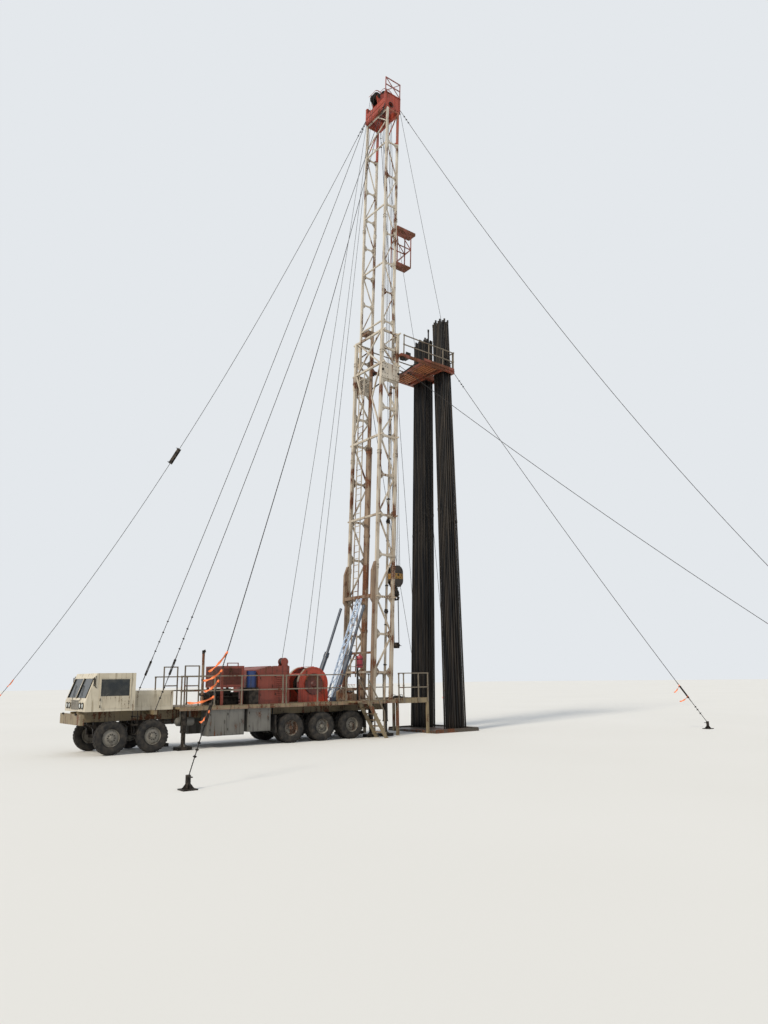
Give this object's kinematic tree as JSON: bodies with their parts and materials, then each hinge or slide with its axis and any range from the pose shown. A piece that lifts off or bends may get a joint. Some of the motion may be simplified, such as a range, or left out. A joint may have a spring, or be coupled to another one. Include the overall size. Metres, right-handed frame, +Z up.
{
  "type": "workover rig",
  "caption": "Truck-mounted well service rig: guyed telescoping lattice mast over a well, travelling block, tubing board with racked pipe, drawworks, rails and stair.",
  "frame": {"origin": "on the ground at the well's centre line, which is also the middle of the guy anchors' rectangle", "axes": "+X from the cab towards the well and the racked pipe, +Y to the side away from the stair, +Z up"},
  "size_m": [28.8, 31.6, 32.608],
  "materials": {
    "mast_cream": "weathered",
    "mast_brown": "rusty",
    "crown_red": "weathered",
    "board_orange": "rusty",
    "rail_grey": "weathered",
    "dark_steel": "oily",
    "pipe_steel": "dark",
    "wire_rope": "greasy",
    "block_paint": "worn",
    "deck_grey": "dirty",
    "housing_red": "rusty",
    "guard_orange": "worn",
    "barrel_blue": "satin",
    "cab_cream": "dirty",
    "cab_glass": "clear",
    "box_grey": "dirty",
    "tyre": "dusty",
    "rim_grey": "dirty",
    "ram_blue": "oily",
    "tray_dark": "dirty"
  },
  "bodies": {
    "rig": {"mast_lower_near": "mast_cream", "mast_lower_far": "mast_cream", "mast_lower_front": "mast_cream", "mast_upper_near": "mast_cream", "mast_upper_far": "mast_cream", "mast_upper_front": "mast_cream", "mast_base": "mast_brown", "raising_cylinders": "ram_blue", "scoping_ram": "mast_brown", "standpipe": "mast_cream", "access_ladder": "rail_grey", "mast_ladder": "mast_cream", "crown_frame": "crown_red", "crown_sheaves": "dark_steel", "crown_rail": "rail_grey", "rod_basket": "board_orange", "board_arms": "board_orange", "board_frame": "board_orange", "board_fingers": "board_orange", "board_rails": "rail_grey", "stands_near": "pipe_steel", "stands_far": "pipe_steel", "setback_tray": "tray_dark", "drill_lines": "wire_rope", "ground_anchors": "dark_steel", "guy_tensioner": "block_paint", "carrier_frame": "deck_grey", "deck": "deck_grey", "deck_rails": "rail_grey", "cab": "cab_cream", "cab_glass": "cab_glass", "radiator_housing": "housing_red", "engine_housing": "housing_red", "drawworks_guard": "guard_orange", "drawworks_drum": "dark_steel", "utility_winch": "housing_red", "barrel": "barrel_blue", "pump_unit": "dark_steel", "control_box": "cab_cream", "exhaust_stack": "mast_brown", "underdeck_boxes": "box_grey", "tyres": "tyre", "wheel_rims": "rim_grey", "axles": "dark_steel", "levelling_jacks": "dark_steel", "work_floor": "deck_grey", "floor_rails": "rail_grey", "stairs": "deck_grey", "stair_rails": "rail_grey", "crown_guys": "wire_rope", "load_guys": "wire_rope", "floor_guys": "wire_rope", "board_hangers": "wire_rope", "drum_lines": "wire_rope"},
    "block": {"travelling_block": "block_paint"},
    "hook": {"hook": "dark_steel"},
    "links": {"elevator_links": "dark_steel", "elevator": "dark_steel"}
  },
  "joints": [
    {"name": "block_travel", "type": "slide", "parent": "rig", "child": "block", "axis": [0, 0, 1], "range_m": [-1.2, 21.5], "deforming": ["drill_lines"]},
    {"name": "hook_swivel", "type": "hinge", "parent": "block", "child": "hook", "pos_m": [0, 0, 6.4], "axis": [0, 0, 1], "continuous": true},
    {"name": "links_swing", "type": "hinge", "parent": "hook", "child": "links", "pos_m": [0, 0, 6.04], "axis": [0, 1, 0], "range_deg": [-10, 10]}
  ]
}
